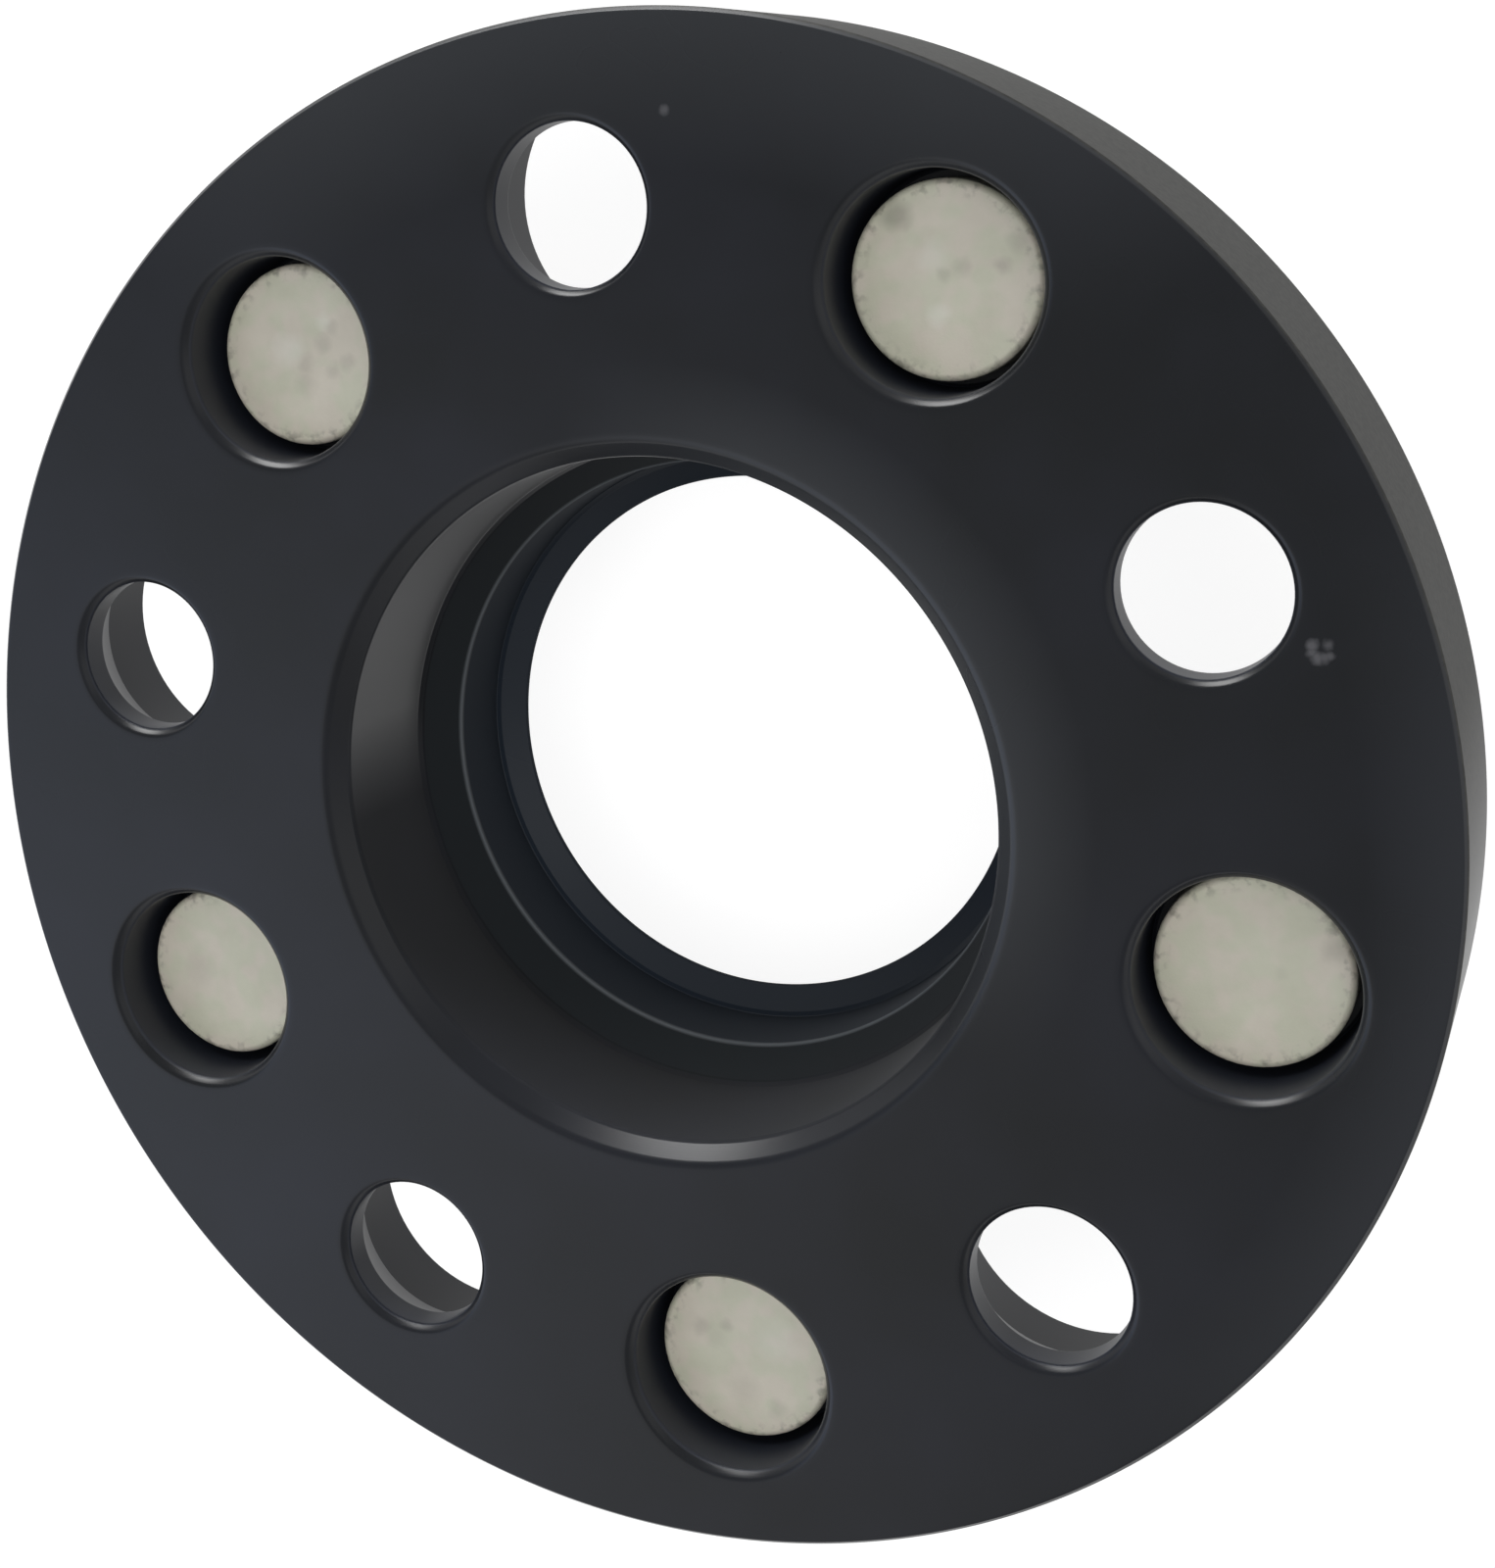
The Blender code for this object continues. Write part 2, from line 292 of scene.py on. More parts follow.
# %% Wind a wall of points round an axis
def wound(mesh, centre, low, high, row_height, radius_at, rows_climbed=0):
    """Heights are in mm. In one turn a row climbs by rows_climbed rows."""
    rows = round((high - low) / row_height) + rows_climbed
    columns = []
    for k in range(STUD_STEPS):
        turn = k / STUD_STEPS
        out = Vector((math.cos(math.tau * turn), math.sin(math.tau * turn)))
        column = []
        for i in range(rows + 1):
            height = low + (i - rows_climbed + rows_climbed * turn) * row_height
            height = min(high, max(low, height))
            place = centre + out * radius_at(height, turn) * MM
            column.append(mesh.verts.new((place.x, place.y, height * MM)))
        columns.append(column)
    skin(mesh, columns, jump=rows_climbed)


# %% Build the five studs
head, crown = HEAD_RADIUS / MM, HEAD_TOP / MM
HEAD_SECTION = [(0, crown, 0), (head, crown, 0.7), (head, head_seat, 0.4),
                (SHANK, head_seat, 0.15), (SHANK, NECK_END, 0)]
SHANK_SECTION = [(SHANK, KNURL_END, 0), (SHANK, THREAD_TOP, 0)]
PILOT_SECTION = [(PILOT, THREAD_LOW, 0), (PILOT, 0, PILOT_EDGE), (0, 0, 0)]


def fine_stud(name, centre):
    mesh = bmesh.new()
    lathe(mesh, rounded(HEAD_SECTION, CROWN_PIECES), centre, STUD_STEPS)
    wound(mesh, centre, KNURL_END, NECK_END, KNURL_ROW, knurl_radius)
    lathe(mesh, rounded(SHANK_SECTION), centre, STUD_STEPS)
    wound(mesh, centre, THREAD_LOW, THREAD_TOP, PITCH / ROWS_PER_PITCH, thread_radius,
          ROWS_PER_PITCH)
    lathe(mesh, rounded(PILOT_SECTION), centre, STUD_STEPS)
    return finished(mesh, name, STUD_SHARP)


studs = [fine_stud(f"fine_{node}", centre) for node, centre in zip(STUD_NODES, STUD_CENTRES)]
print("each stud:", len(studs[0].data.polygons), "faces")

# %% [markdown]
# Materials are node trees. One small function adds any node: it sets the node's own settings, and
# gives each input either a plain value or a link from another node. Colours are written as sRGB hex
# values, the way they look on a screen, and one function turns them to the linear values that the
# renderer calculates with.

# %% Helpers for materials
def linear(hex_colour):
    parts = [int(hex_colour[i:i + 2], 16) / 255 for i in (1, 3, 5)]
    return tuple(c / 12.92 if c <= 0.04045 else ((c + 0.055) / 1.055) ** 2.4 for c in parts) + (1,)


def add(tree, kind, inputs, **settings):
    """Adds a node of a kind, with its settings, and a value or a link for each named input."""
    made = tree.nodes.new(kind)
    for name, value in settings.items():
        setattr(made, name, value)
    for name, value in inputs.items():
        if isinstance(value, bpy.types.NodeSocket):
            tree.links.new(value, made.inputs[name])
        else:
            made.inputs[name].default_value = value
    return made


def direction(azimuth, elevation):
    """A unit vector from two angles in degrees. Azimuth 0 is +X, and 90 is +Y."""
    a, e = math.radians(azimuth), math.radians(elevation)
    return Vector((math.cos(a) * math.cos(e), math.sin(a) * math.cos(e), math.sin(e)))


def new_material(name):
    made = bpy.data.materials.new(name)
    made.use_nodes = True
    made.node_tree.nodes.clear()
    return made, made.node_tree


# %% [markdown]
# Wear isn't the same all over a part. An even noise looks like camouflage, so the marks of use are
# put where the photograph has them. A mask is a number that is 1 inside a zone and 0 outside it.
# Painting it on the mesh would need a much finer mesh, so two helpers work it out from the point's
# own place: soft round blots with a shaken outline, and a sector round the axis with soft ends.

# %% Masks for marks of use
BLOT_WAVES, BLOT_CORE = 0.7, 0.3


def blots(tree, place, spots, wander):
    """How strongly soft marks cover a point, from 0 to 1. A spot is its middle and its size in mm,
    and its strength. Noise shakes the outline by about half of wander, in mm."""
    noise = add(tree, "ShaderNodeTexNoise", {"Vector": place, "Scale": BLOT_WAVES / (wander * MM),
                                             "Detail": 2.0}).outputs["Color"]
    shake = Vector((wander, wander, wander)) * MM
    shaken = add(tree, "ShaderNodeVectorMath", {0: noise, 1: shake, 2: place},
                 operation="MULTIPLY_ADD").outputs["Vector"]
    cover = 0.0
    for middle, size, strength in spots:
        away = add(tree, "ShaderNodeVectorMath", {0: shaken, 1: Vector(middle) * MM + shake / 2},
                   operation="DISTANCE").outputs["Value"]
        spot = add(tree, "ShaderNodeMapRange", {"Value": away, "From Min": size * MM,
                                                "From Max": BLOT_CORE * size * MM,
                                                "To Max": strength}).outputs["Result"]
        cover = add(tree, "ShaderNodeMath", {0: cover, 1: spot},
                    operation="MAXIMUM").outputs["Value"]
    return cover


def sector(tree, outward, azimuth, inner, outer):
    """1 within inner degrees of an azimuth, and 0 beyond outer degrees from it."""
    towards = add(tree, "ShaderNodeVectorMath", {0: outward, 1: direction(azimuth, 0)},
                  operation="DOT_PRODUCT").outputs["Value"]
    from_cosine, to_cosine = math.cos(math.radians(outer)), math.cos(math.radians(inner))
    return add(tree, "ShaderNodeMapRange", {"Value": towards, "From Min": from_cosine,
                                            "From Max": to_cosine}).outputs["Result"]


# %% [markdown]
# The plate is one piece with one finish, but tools and use leave each of its walls a little
# different: the lathe-turned faces, the rim, the drilled holes, the register and the lip. The walls
# are told apart by how upright they stand, and by their distance from the axis. Two patches are
# glossier: one in the register, where a hub has rubbed it, and one on the rim, where hands hold it.

# %% Zones of the plate
WALL_BELOW, FLAT_ABOVE = 0.55, 0.68
BORE_LIMIT_MM, RIM_FROM_MM = 33.8, 74.36
REGISTER_ABOVE_MM = 4.0
# azimuth, and the angles from it where the patch starts to fade and has faded out
RUBBED_SECTOR = (125, 40, 57)
HANDLED_SECTOR = (-40, 28, 45)


def plate_zones(tree, place):
    """Measures of a point on the plate, and masks of the plate's walls and patches."""
    apart = add(tree, "ShaderNodeSeparateXYZ", {"Vector": place}).outputs
    flat = add(tree, "ShaderNodeCombineXYZ", {"X": apart["X"], "Y": apart["Y"]}).outputs["Vector"]
    radius = add(tree, "ShaderNodeVectorMath", {0: flat}, operation="LENGTH").outputs["Value"]
    outward = add(tree, "ShaderNodeVectorMath", {0: flat},
                  operation="NORMALIZE").outputs["Vector"]
    normal = add(tree, "ShaderNodeNewGeometry", {}).outputs["Normal"]
    facing = add(tree, "ShaderNodeSeparateXYZ", {"Vector": normal}).outputs["Z"]
    facing = add(tree, "ShaderNodeMath", {0: facing}, operation="ABSOLUTE").outputs["Value"]
    wall = add(tree, "ShaderNodeMapRange", {"Value": facing, "From Min": WALL_BELOW,
                                            "From Max": FLAT_ABOVE, "To Min": 1.0,
                                            "To Max": 0.0}).outputs["Result"]
    zones = {"radius": radius, "height": apart["Z"], "outward": outward, "wall": wall}
    limits = {"inside": ("LESS_THAN", radius, BORE_LIMIT_MM * MM),
              "outside": ("GREATER_THAN", radius, BORE_LIMIT_MM * MM),
              "within rim": ("LESS_THAN", radius, RIM_FROM_MM * MM),
              "rim": ("GREATER_THAN", radius, RIM_FROM_MM * MM),
              "high": ("GREATER_THAN", apart["Z"], WHEEL_FACE + REGISTER_ABOVE_MM * MM)}
    for name, (compare, value, limit) in limits.items():
        zones[name] = add(tree, "ShaderNodeMath", {0: value, 1: limit},
                          operation=compare).outputs["Value"]
    zones["rubbed sector"] = sector(tree, outward, *RUBBED_SECTOR)
    zones["handled sector"] = sector(tree, outward, *HANDLED_SECTOR)
    overlaps = {"inner wall": ("wall", "within rim"), "hole wall": ("inner wall", "outside"),
                "bore wall": ("wall", "inside"), "register": ("inside", "high"),
                "rubbed": ("register", "rubbed sector"), "handled": ("rim", "handled sector")}
    for name, (one, other) in overlaps.items():
        zones[name] = add(tree, "ShaderNodeMath", {0: zones[one], 1: zones[other]},
                          operation="MULTIPLY").outputs["Value"]
    return zones


# %% [markdown]
# Roughness says how widely a surface spreads what it mirrors. The faces are turned fine, so they
# mirror the room softly. The rim and the bore come from coarser cuts, which spread it more. Each
# zone in the list lies over the ones before it.

# %% Gloss of the plate
FACE_ROUGHNESS, RIM_ROUGHNESS = 0.25, 0.65
CLOUDED_BY = 0.06
ZONE_ROUGHNESS = {"inner wall": 0.4, "bore wall": 0.9, "register": 0.78, "rubbed": 0.35,
                  "handled": 0.37}


def plate_gloss(tree, zones, clouds):
    gloss = add(tree, "ShaderNodeMix", {0: zones["wall"], 2: FACE_ROUGHNESS, 3: RIM_ROUGHNESS},
                data_type="FLOAT").outputs[0]
    gloss = add(tree, "ShaderNodeMath", {0: clouds, 1: CLOUDED_BY, 2: gloss},
                operation="MULTIPLY_ADD").outputs["Value"]
    for name, roughness in ZONE_ROUGHNESS.items():
        gloss = add(tree, "ShaderNodeMix", {0: zones[name], 2: gloss, 3: roughness},
                    data_type="FLOAT").outputs[0]
    return gloss


# %% [markdown]
# The tone starts as a black that drifts slowly in patches. Hole walls are a shade lighter and bluer,
# and the rim has a fine mottle from its coarser cut. The lower bore is lighter and bluer too: that is
# painted sheen, for the bluish light that the lower bore shows. A thin light line on the edge in the
# bore is a painted highlight. The face is paler near its outer edge and round the mouth of the
# register: that is painted sheen, where the face mirrors more light. Two small dings show dull bare
# metal.

# %% Tone of the plate, with painted sheen and a painted highlight
DYED_BLACK, DYED_FADED = "#131518", "#191B21"
FADE_FROM, FADE_TO = 0.35, 0.7
HOLE_WALL = "#22252D"
RIM_DARK, RIM_LIGHT = "#1C1C1A", "#2B2B28"
RIM_MOTTLE_MM, RIM_MOTTLE_FROM, RIM_MOTTLE_TO = 0.6, 0.38, 0.62
# the lower bore, lighter and bluer as painted sheen: height above the wheel face below which a
# tone starts, and the tone
LOWER_BORE_SHEEN = [(3.8, "#1C2023"), (-0.45, "#20262E")]
# painted sheen: paler zones of the face, where it mirrors more light: azimuth, full and fading
# angle, radius where it starts and is full, tone
SHEEN_ZONES = [(84, 24, 46, 60.0, 73.9, "#2A2C2F"), (-18, 14, 38, 66.0, 73.9, "#24262A"),
              (28, 38, 68, 43.0, 35.2, "#2B2D30")]
# a painted highlight: the thin light line on the edge in the bore
EDGE_HIGHLIGHT = "#5E6266"
EDGE_INSIDE_MM, EDGE_BELOW_FACE_MM = 31.6, 0.10
EDGE_FADED_MM, EDGE_FULL_MM = 0.44, 0.12
BARE_METAL = "#4C4C4F"
# middle in mm, size in mm, strength
DINGS = [((63.15, 12.65, hub), 0.75, 1.0), ((63.10, 12.00, hub), 0.65, 0.9),
         ((63.50, 11.50, hub), 0.75, 1.0), ((64.05, 11.50, hub), 0.65, 0.8),
         ((64.50, 11.60, hub), 0.55, 0.8), ((64.50, 12.60, hub), 0.60, 0.7),
         ((10.90, 64.40, hub), 0.60, 0.8)]
DING_WANDER_MM = 0.5


def rim_mottle(tree, place):
    noise = add(tree, "ShaderNodeTexNoise", {"Vector": place, "Scale": 1 / (RIM_MOTTLE_MM * MM),
                                             "Detail": 3.0}).outputs["Fac"]
    share = add(tree, "ShaderNodeMapRange", {"Value": noise, "From Min": RIM_MOTTLE_FROM,
                                             "From Max": RIM_MOTTLE_TO}).outputs["Result"]
    return add(tree, "ShaderNodeMix", {0: share, 6: linear(RIM_DARK), 7: linear(RIM_LIGHT)},
               data_type="RGBA").outputs[2]


def painted_edge_highlight(tree, zones):
    """A painted highlight: 1 on a thin line round the bore, just below the level of the wheel face."""
    height = add(tree, "ShaderNodeMath", {0: zones["height"],
                                          1: WHEEL_FACE - EDGE_BELOW_FACE_MM * MM},
                 operation="SUBTRACT").outputs["Value"]
    away = add(tree, "ShaderNodeMath", {0: height}, operation="ABSOLUTE").outputs["Value"]
    line = add(tree, "ShaderNodeMapRange", {"Value": away, "From Min": EDGE_FADED_MM * MM,
                                            "From Max": EDGE_FULL_MM * MM}).outputs["Result"]
    narrow = add(tree, "ShaderNodeMath", {0: zones["radius"], 1: EDGE_INSIDE_MM * MM},
                 operation="LESS_THAN").outputs["Value"]
    return add(tree, "ShaderNodeMath", {0: line, 1: narrow},
               operation="MULTIPLY").outputs["Value"]


def plate_tone(tree, place, zones, clouds):
    fading = add(tree, "ShaderNodeValToRGB", {"Fac": clouds})
    for stop, position, tone in zip(fading.color_ramp.elements, (FADE_FROM, FADE_TO),
                                    (DYED_BLACK, DYED_FADED)):
        stop.position = position
        stop.color = linear(tone)
    layers = []
    # painted sheen: the face is paler in these zones, where it mirrors more light
    for azimuth, inner, outer_angle, starts, full, sheen_tone in SHEEN_ZONES:
        part = sector(tree, zones["outward"], azimuth, inner, outer_angle)
        part = add(tree, "ShaderNodeMapRange", {"Value": zones["radius"], "From Min": starts * MM,
                                                "From Max": full * MM,
                                                "To Max": part}).outputs["Result"]
        layers.append((part, linear(sheen_tone)))
    layers.append((zones["hole wall"], linear(HOLE_WALL)))
    layers.append((zones["rim"], rim_mottle(tree, place)))
    # painted sheen: the lower bore is lighter and bluer, for the bluish light that it shows
    for above_face, sheen_tone in LOWER_BORE_SHEEN:
        lower = add(tree, "ShaderNodeMath", {0: zones["height"],
                                             1: WHEEL_FACE + above_face * MM},
                    operation="LESS_THAN").outputs["Value"]
        lower = add(tree, "ShaderNodeMath", {0: lower, 1: zones["inside"]},
                    operation="MULTIPLY").outputs["Value"]
        layers.append((lower, linear(sheen_tone)))
    # painted highlight on the edge in the bore
    layers.append((painted_edge_highlight(tree, zones), linear(EDGE_HIGHLIGHT)))
    layers.append((blots(tree, place, DINGS, DING_WANDER_MM), linear(BARE_METAL)))
    tone = fading.outputs["Color"]
    for cover, paint in layers:
        tone = add(tree, "ShaderNodeMix", {0: cover, 6: tone, 7: paint},
                   data_type="RGBA").outputs[2]
    return tone


# %% [markdown]
# A lathe leaves a fine spiral of feed marks. They could be real grooves in the mesh, but they are
# only a few thousandths of a millimetre deep, so a bump in the shading does it. They are finer than
# a pixel here, so they are drawn 0.35 mm apart, three times coarser than real, and very shallow. A
# faint grain lies over them, from the etching bath before the anodising.

# %% Turning marks and grain
FEED_MARKS_MM, FEED_STRENGTH, FEED_HEIGHT_MM = 0.35, 0.03, 0.02
GRAIN_MM, GRAIN_STRENGTH, GRAIN_HEIGHT_MM = 0.5, 0.06, 0.03


def turning_marks(tree, place, zones, clouds):
    grain = add(tree, "ShaderNodeTexNoise", {"Vector": place, "Scale": 1 / (GRAIN_MM * MM),
                                             "Detail": 2.0}).outputs["Fac"]
    along = add(tree, "ShaderNodeMath", {0: zones["radius"], 1: zones["height"]},
                operation="ADD").outputs["Value"]
    feed = add(tree, "ShaderNodeMath", {0: along, 1: math.tau / (FEED_MARKS_MM * MM)},
               operation="MULTIPLY").outputs["Value"]
    feed = add(tree, "ShaderNodeMath", {0: feed}, operation="SINE").outputs["Value"]
    feed = add(tree, "ShaderNodeMath", {0: feed, 1: clouds}, operation="MULTIPLY").outputs["Value"]
    marks = add(tree, "ShaderNodeBump", {"Height": feed, "Strength": FEED_STRENGTH,
                                         "Distance": FEED_HEIGHT_MM * MM}).outputs["Normal"]
    return add(tree, "ShaderNodeBump", {"Height": grain, "Normal": marks,
                                        "Strength": GRAIN_STRENGTH,
                                        "Distance": GRAIN_HEIGHT_MM * MM}).outputs["Normal"]


# %% [markdown]
# The plate is 6061 aluminium, turned, then sulphuric-acid anodised and dyed black. Anodising grows a
# thin glassy oxide full of pores, which the dye fills. So the eye sees a dark, slightly satin skin
# with clear reflections only at a glancing view, and no colour of metal. That is a dielectric with
# an index near 1.5, not a metal.

# %% Black anodised aluminium
CLOUDS_MM = 25
OXIDE_IOR = 1.5
OXIDE_SPECULAR = 0.4


def black_anodised():
    material, tree = new_material("black anodised aluminium")
    place = add(tree, "ShaderNodeTexCoord", {}).outputs["Object"]
    clouds = add(tree, "ShaderNodeTexNoise", {"Vector": place, "Scale": 1 / (CLOUDS_MM * MM),
                                              "Detail": 3.0, "Roughness": 0.55}).outputs["Fac"]
    zones = plate_zones(tree, place)
    oxide = add(tree, "ShaderNodeBsdfPrincipled",
                {"Base Color": plate_tone(tree, place, zones, clouds),
                 "Roughness": plate_gloss(tree, zones, clouds),
                 "Normal": turning_marks(tree, place, zones, clouds),
                 "IOR": OXIDE_IOR, "Metallic": 0.0, "Specular IOR Level": OXIDE_SPECULAR})
    add(tree, "ShaderNodeOutputMaterial", {"Surface": oxide.outputs["BSDF"]})
    print(f"{material.name}: {len(tree.nodes)} nodes")
    return material


anodised = black_anodised()

# %% [markdown]
# The studs are 10.9 grade steel with a zinc-flake coat, the dull grey paint-like layer that is baked
# on against rust. It scatters light broadly, with a little of the metal's own glitter, and it looks
# warm in soft light. The coat is dipped and spun off, so its tone drifts in clouds a few millimetres
# wide, and it leans to green in some places and to pink in others.

# %% Tones of the zinc-flake coat
ZINC_FLAKE, ZINC_FLAKE_DULL = "#CCCABA", "#BCBAA9"
DULL_UNTIL, BRIGHT_FROM = 0.3, 0.65
COAT_CLOUDS_MM = 4
TINT_GREEN, TINT_PINK = "#C6C7B2", "#D2C8BC"
TINT_PATCHES_MM, GREEN_BELOW, PINK_ABOVE = 2.6, 0.4, 0.6
TINT_SHARE = 0.5


def coat_tone(tree, place):
    clouds = add(tree, "ShaderNodeTexNoise", {"Vector": place, "Scale": 1 / (COAT_CLOUDS_MM * MM),
                                              "Detail": 5.0, "Roughness": 0.6}).outputs["Fac"]
    coat = add(tree, "ShaderNodeValToRGB", {"Fac": clouds})
    for stop, position, tone in zip(coat.color_ramp.elements, (DULL_UNTIL, BRIGHT_FROM),
                                    (ZINC_FLAKE_DULL, ZINC_FLAKE)):
        stop.position = position
        stop.color = linear(tone)
    hue = add(tree, "ShaderNodeTexNoise", {"Vector": place, "Scale": 1 / (TINT_PATCHES_MM * MM),
                                           "Detail": 1.0}).outputs["Fac"]
    hue = add(tree, "ShaderNodeMapRange", {"Value": hue, "From Min": GREEN_BELOW,
                                           "From Max": PINK_ABOVE}).outputs["Result"]
    tint = add(tree, "ShaderNodeMix", {0: hue, 6: linear(TINT_GREEN), 7: linear(TINT_PINK)},
               data_type="RGBA").outputs[2]
    return add(tree, "ShaderNodeMix", {0: TINT_SHARE, 6: coat.outputs["Color"], 7: tint},
               data_type="RGBA").outputs[2]


# %% [markdown]
# Pressing the studs in and handling them has left soft dark and light marks on their crowns. Dark
# specks lie along the edge of each head; they also darken its rounded edge, which is painted shade.
# Every head is marked differently, so the marks are listed one by one, and the blots helper draws
# them. The specks are one noise, kept to the outer edge.

# %% Marks on the heads
HANDLING_DARK, HANDLING_LIGHT = "#5C5A52", "#E2E1D8"
# for each stud: x and y from its axis, size, strength
DARK_MARKS = [[(5.25, 0.65, 1.0, 0.23), (1.5, 1.0, 1.2, 0.15), (0.0, 0.5, 1.0, 0.18),
               (-4.0, 6.25, 1.9, 0.36), (7.0, 2.75, 1.5, 0.18)],
              [(7.25, 2.0, 1.6, 0.18), (2.5, -0.25, 0.9, 0.08)],
              [(-4.4, 2.6, 1.3, 0.18), (-1.7, 2.9, 1.0, 0.20), (-3.0, 1.35, 1.3, 0.09),
               (-0.5, -4.0, 2.2, 0.09), (2.5, -6.0, 1.4, 0.15)],
              [(-3.25, 0.25, 2.2, 0.08)],
              [(2.5, 1.0, 1.3, 0.17), (0.5, -0.9, 1.4, 0.15), (3.5, -1.9, 1.1, 0.17),
               (5.0, -1.25, 1.1, 0.17), (3.75, 2.25, 1.1, 0.14), (0.0, -2.8, 1.6, 0.11)]]
LIGHT_MARKS = [[(-1.0, -3.0, 1.5, 0.35), (-1.0, 2.2, 1.8, 0.25)], [], [(3.5, 1.0, 3.0, 0.2)], [],
               [(-1.5, 0.75, 2.2, 0.35), (3.0, 3.0, 1.2, 0.3)]]
DARK_WANDER_MM, LIGHT_WANDER_MM = 1.6, 2.0
# band of the dark edge specks, which also stand in as painted shade on the rounded edge
SPECKS_AND_SHADE_FROM_MM, SPECKS_AND_SHADE_TO_MM = 7.3, 8.5
SPECKS_MM, SPECKS_FROM, SPECKS_TO, SPECKS_STRENGTH = 0.9, 0.5, 0.7, 0.5


def on_crowns(marks):
    """Marks given from each stud's own axis become spots on the model."""
    return [((centre.x / MM + x, centre.y / MM + y, HEAD_TOP / MM), size, strength)
            for centre, own in zip(STUD_CENTRES, marks) for x, y, size, strength in own]


def edge_specks_and_shade(tree, place, across):
    """Dark specks near the edge of a head, which also lay painted shade on its rounded edge.
    Across runs from 0 to 1 over the head's width.
    """
    middle = add(tree, "ShaderNodeVectorMath", {0: across, 1: (0.5, 0.5, 0)},
                 operation="SUBTRACT").outputs["Vector"]
    middle = add(tree, "ShaderNodeVectorMath", {0: middle, 1: (1, 1, 0)},
                 operation="MULTIPLY").outputs["Vector"]
    radius = add(tree, "ShaderNodeVectorMath", {0: middle}, operation="LENGTH").outputs["Value"]
    near_edge = add(tree, "ShaderNodeMapRange",
                    {"Value": radius, "From Min": SPECKS_AND_SHADE_FROM_MM * MM / (2 * HEAD_RADIUS),
                     "From Max": SPECKS_AND_SHADE_TO_MM * MM / (2 * HEAD_RADIUS)}).outputs["Result"]
    specks = add(tree, "ShaderNodeTexNoise", {"Vector": place, "Scale": 1 / (SPECKS_MM * MM),
                                              "Detail": 2.0}).outputs["Fac"]
    specks = add(tree, "ShaderNodeMapRange",
                 {"Value": specks, "From Min": SPECKS_FROM, "From Max": SPECKS_TO,
                  "To Max": SPECKS_STRENGTH}).outputs["Result"]
    return add(tree, "ShaderNodeMath", {0: near_edge, 1: specks},
               operation="MULTIPLY").outputs["Value"]


# %% [markdown]
# The finished coat is half paint and half metal to the eye: zinc and aluminium flakes in a matt
# binder. So it is only slightly metallic, quite rough, and has a fine bumpy grain. A flake is a few
# hundredths of a millimetre wide, too fine to show, so the grain is drawn 0.25 mm wide.

# %% Zinc-flake coated steel
COAT_ROUGHNESS, COAT_METALLIC = 0.55, 0.2
COAT_GRAIN_MM, COAT_GRAIN_STRENGTH, COAT_GRAIN_HEIGHT_MM = 0.25, 0.25, 0.05


def zinc_flake():
    material, tree = new_material("zinc-flake coated steel")
    coordinates = add(tree, "ShaderNodeTexCoord", {}).outputs
    place = coordinates["Object"]
    dark = blots(tree, place, on_crowns(DARK_MARKS), DARK_WANDER_MM)
    # dark blots, and edge specks that are partly painted shade on the head's rounded edge
    dark = add(tree, "ShaderNodeMath", {0: dark,
                                        1: edge_specks_and_shade(tree, place, coordinates["Generated"])},
               operation="MAXIMUM").outputs["Value"]
    light = blots(tree, place, on_crowns(LIGHT_MARKS), LIGHT_WANDER_MM)
    tone = coat_tone(tree, place)
    for cover, paint in [(light, HANDLING_LIGHT), (dark, HANDLING_DARK)]:
        tone = add(tree, "ShaderNodeMix", {0: cover, 6: tone, 7: linear(paint)},
                   data_type="RGBA").outputs[2]
    grain = add(tree, "ShaderNodeTexNoise", {"Vector": place, "Scale": 1 / (COAT_GRAIN_MM * MM),
                                             "Detail": 2.0}).outputs["Fac"]
    bump = add(tree, "ShaderNodeBump", {"Height": grain, "Strength": COAT_GRAIN_STRENGTH,
                                        "Distance": COAT_GRAIN_HEIGHT_MM * MM}).outputs["Normal"]
    coat = add(tree, "ShaderNodeBsdfPrincipled", {"Base Color": tone, "Normal": bump,
                                                  "Roughness": COAT_ROUGHNESS,
                                                  "Metallic": COAT_METALLIC})
    add(tree, "ShaderNodeOutputMaterial", {"Surface": coat.outputs["BSDF"]})
    print(f"{material.name}: {len(tree.nodes)} nodes")
    return material


coated = zinc_flake()

# %% [markdown]
# Each piece gets its finish in a material slot, is tied to what it moves with, and hides the
# imported node that it stands in for.

# %% Dress the pieces
plate.data.materials.append(anodised)
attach(plate, "root")
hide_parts("spacer_plate")

for stud, cad_node in zip(studs, STUD_NODES):
    stud.data.materials.append(coated)
    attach(stud, "root")
    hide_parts(cad_node)
print("dressed", plate.name, "and", len(studs), "studs")

# %% [markdown]
# The floor is a plain white sweep. It is a very large disc at the height of the stud tips. Its paint
# reflects some light, so the object's shadow shows, and the rest of its white is given to camera,
# glossy and transmission rays alone, so that it adds no light to the object.

# %% Floor
FLOOR_RADIUS = 6.0
FLOOR_STEPS = 64
FLOOR_PAINT, FLOOR_PAINT_PALER = "#7F7F7F", "#818181"
FLOOR_MOTTLE_PER_METRE = 3.0
FLOOR_GLOW = 0.87


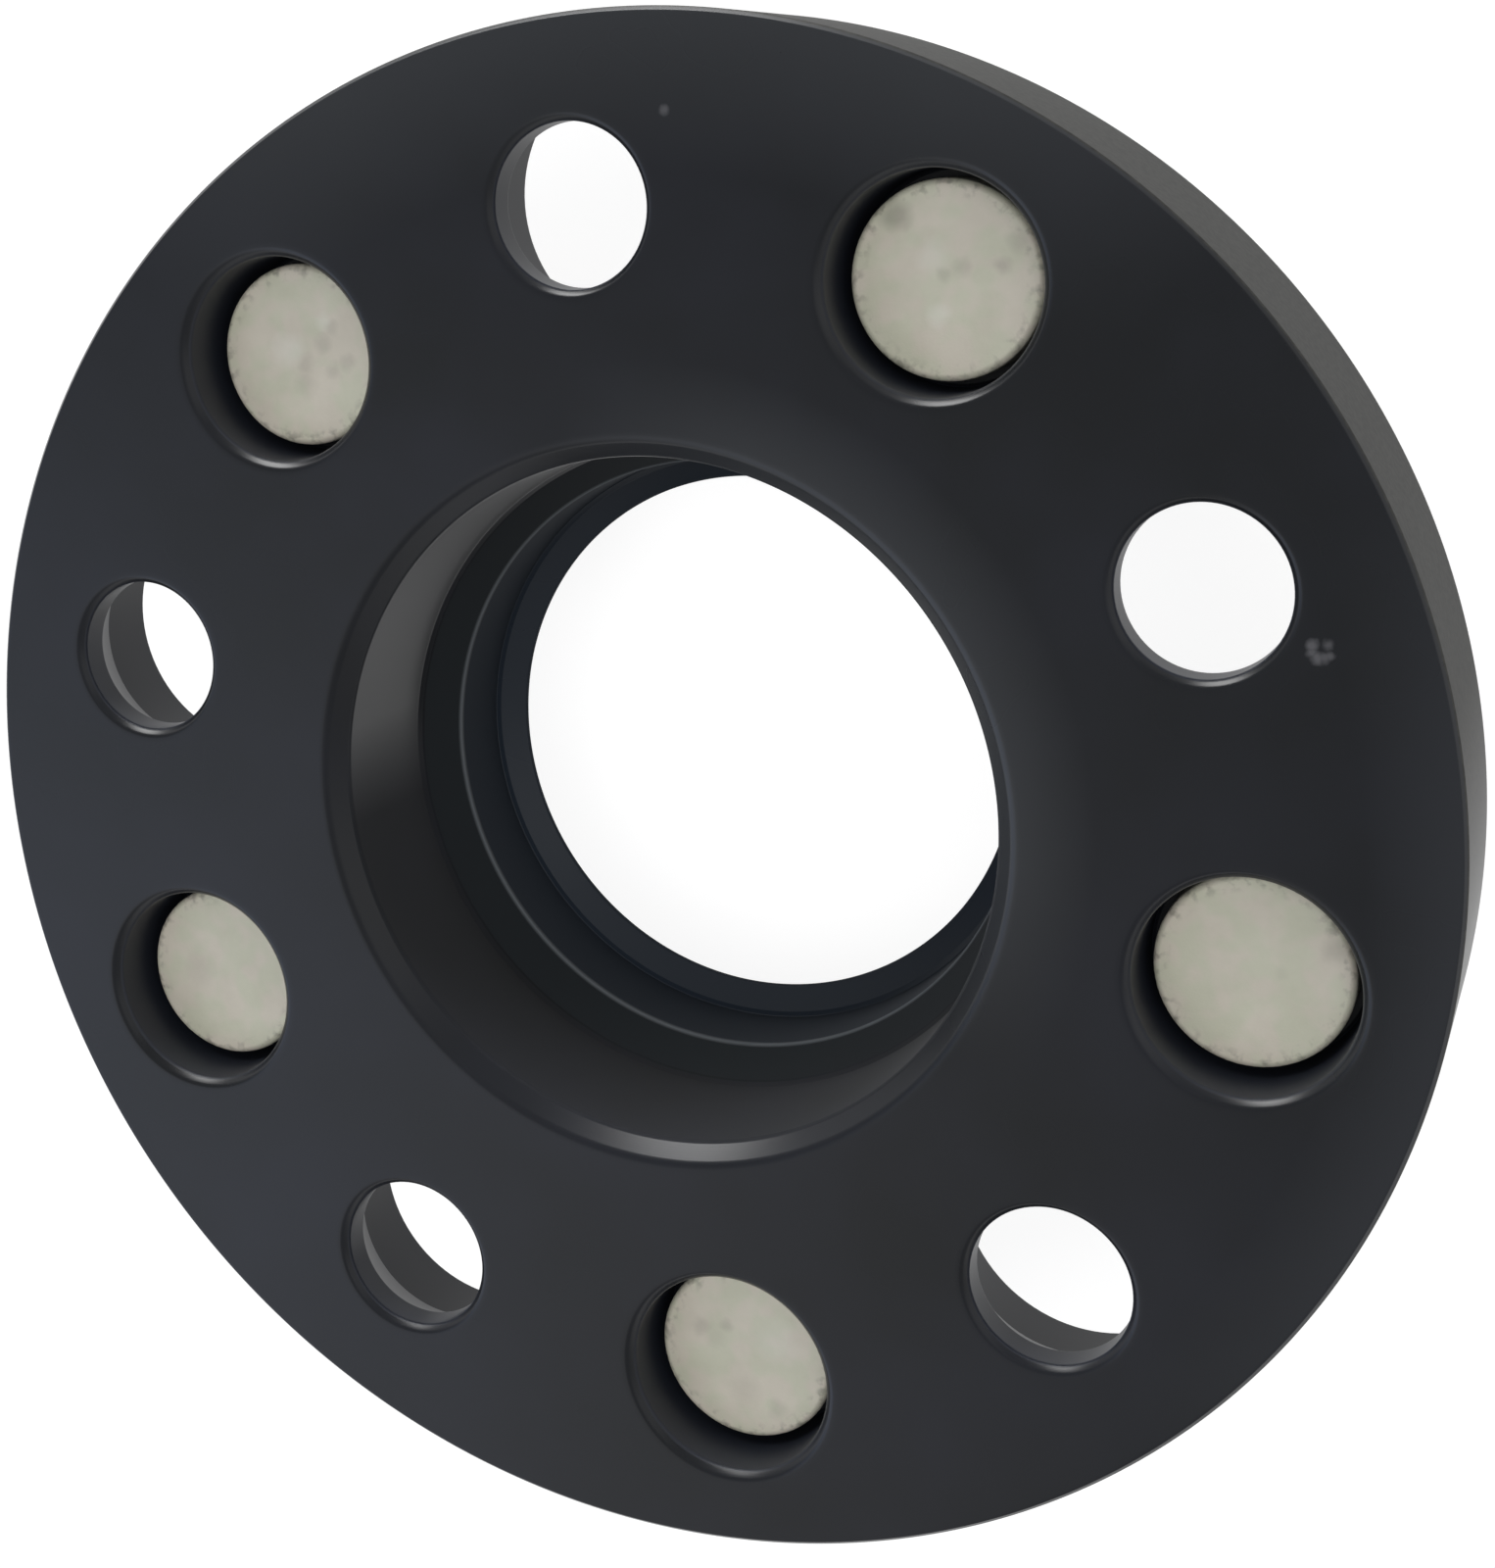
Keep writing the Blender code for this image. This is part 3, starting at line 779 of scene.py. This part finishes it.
def sweep_paint():
    material, tree = new_material("white sweep")
    ray = add(tree, "ShaderNodeLightPath", {}).outputs
    seen = ray["Is Camera Ray"]
    for other in (ray["Is Glossy Ray"], ray["Is Transmission Ray"]):
        seen = add(tree, "ShaderNodeMath", {0: seen, 1: other},
                   operation="MAXIMUM").outputs["Value"]
    glow = add(tree, "ShaderNodeMath", {0: seen, 1: FLOOR_GLOW},
               operation="MULTIPLY").outputs["Value"]
    place = add(tree, "ShaderNodeTexCoord", {}).outputs["Object"]
    mottle = add(tree, "ShaderNodeTexNoise", {"Vector": place, "Scale": FLOOR_MOTTLE_PER_METRE})
    paint = add(tree, "ShaderNodeMix", {0: mottle.outputs["Fac"], 6: linear(FLOOR_PAINT),
                                        7: linear(FLOOR_PAINT_PALER)}, data_type="RGBA")
    matt = add(tree, "ShaderNodeBsdfDiffuse", {"Color": paint.outputs[2]})
    shine = add(tree, "ShaderNodeEmission", {"Strength": glow})
    both = add(tree, "ShaderNodeAddShader", {0: matt.outputs["BSDF"],
                                             1: shine.outputs["Emission"]})
    add(tree, "ShaderNodeOutputMaterial", {"Surface": both.outputs["Shader"]})
    return material


def white_floor():
    mesh = bmesh.new()
    bmesh.ops.create_circle(mesh, cap_ends=True, segments=FLOOR_STEPS, radius=FLOOR_RADIUS)
    data = bpy.data.meshes.new("floor")
    mesh.to_mesh(data)
    mesh.free()
    data.materials.append(sweep_paint())
    made = bpy.data.objects.new("floor", data)
    bpy.context.scene.collection.objects.link(made)
    return made


floor = white_floor()
print(f"floor: a disc {2 * FLOOR_RADIUS:.0f} m across")

# %% [markdown]
# The room is white at the horizon, where the sweep curves up, and dim above, like a studio with a
# dark ceiling. Black stays black only while it has something dark to mirror. Four soft panels stand
# in it. The left half of the face mirrors a pale blue one and a warmer one above it, behind the far
# side. A weak one on the right lights the rim. The fourth is low and strong: the rounded bevels of
# the bore, the lug holes and the pockets mirror it as thin crescents of light. A lamp could draw
# those too, but with hard ends. The room is worked out from the direction of a ray, so no picture is
# needed.

# %% Room
HORIZON_WHITE = 1.0
WALL_DIM = 0.30
WALL_FROM_DEGREES = 32
# azimuth, elevation, inner and outer angle, level, colour
PANELS = [(215, 45, 5, 30, 0.55, "#F2F0EC"),
          (200, 30, 5, 32, 0.80, "#A6C0EE"),
          (8, 38, 8, 34, 0.40, "#FFFFFF"),
          (109, 10, 3, 22, 11.0, "#FFFFFF")]


def studio_room():
    world = bpy.data.worlds.new("studio room")
    world.use_nodes = True
    tree = world.node_tree
    tree.nodes.clear()
    way = add(tree, "ShaderNodeTexCoord", {}).outputs["Generated"]
    height = add(tree, "ShaderNodeSeparateXYZ", {"Vector": way}).outputs["Z"]
    wall = add(tree, "ShaderNodeMapRange",
               {"Value": height, "From Min": 0.0,
                "From Max": math.sin(math.radians(WALL_FROM_DEGREES)),
                "To Min": HORIZON_WHITE, "To Max": WALL_DIM}, interpolation_type="SMOOTHSTEP")
    room = add(tree, "ShaderNodeBackground", {"Color": linear("#FFFFFF"),
                                              "Strength": wall.outputs["Result"]})
    room = room.outputs["Background"]
    for azimuth, elevation, inner, outer_angle, level, colour in PANELS:
        near = add(tree, "ShaderNodeVectorMath", {0: way, 1: direction(azimuth, elevation)},
                   operation="DOT_PRODUCT")
        glow = add(tree, "ShaderNodeMapRange",
                   {"Value": near.outputs["Value"],
                    "From Min": math.cos(math.radians(outer_angle)),
                    "From Max": math.cos(math.radians(inner)), "To Max": level},
                   interpolation_type="SMOOTHSTEP")
        panel = add(tree, "ShaderNodeBackground", {"Color": linear(colour),
                                                   "Strength": glow.outputs["Result"]})
        room = add(tree, "ShaderNodeAddShader", {0: room, 1: panel.outputs["Background"]})
        room = room.outputs["Shader"]
    add(tree, "ShaderNodeOutputWorld", {"Surface": room})
    return world


bpy.context.scene.world = studio_room()
print("room with", len(PANELS), "panels")

# %% [markdown]
# One lamp stands far away, so it lights floor and object alike. It is the key light, nearly overhead
# and a little to the camera's side, so that it reaches the heads down in their pockets. It is broad,
# which keeps the shadows soft, and it is hidden from glossy rays, so that the black face doesn't
# mirror it as a spot.

# %% Lamp
def far_lamp(name, azimuth, elevation, width, strength, colour):
    """A soft lamp far away in a direction, in degrees. The strength is what a facing card gets."""
    light = bpy.data.lights.new(name, "SUN")
    light.energy = strength
    light.angle = math.radians(width)
    light.color = linear(colour)[:3]
    lamp = bpy.data.objects.new(name, light)
    lamp.rotation_euler = direction(azimuth, elevation).to_track_quat("Z", "Y").to_euler()
    bpy.context.scene.collection.objects.link(lamp)
    return lamp


key = far_lamp("key", azimuth=30, elevation=76, width=40, strength=1.45, colour="#FFFFFF")
key.visible_glossy = False
print("lamp:", key.name)

# %% [markdown]
# The picture is shown with the Standard view, which changes no tone, so that colours compare directly
# with the photograph's.

# %% Colour of the picture
bpy.context.scene.view_settings.view_transform = "Standard"
print("view:", bpy.context.scene.view_settings.view_transform)
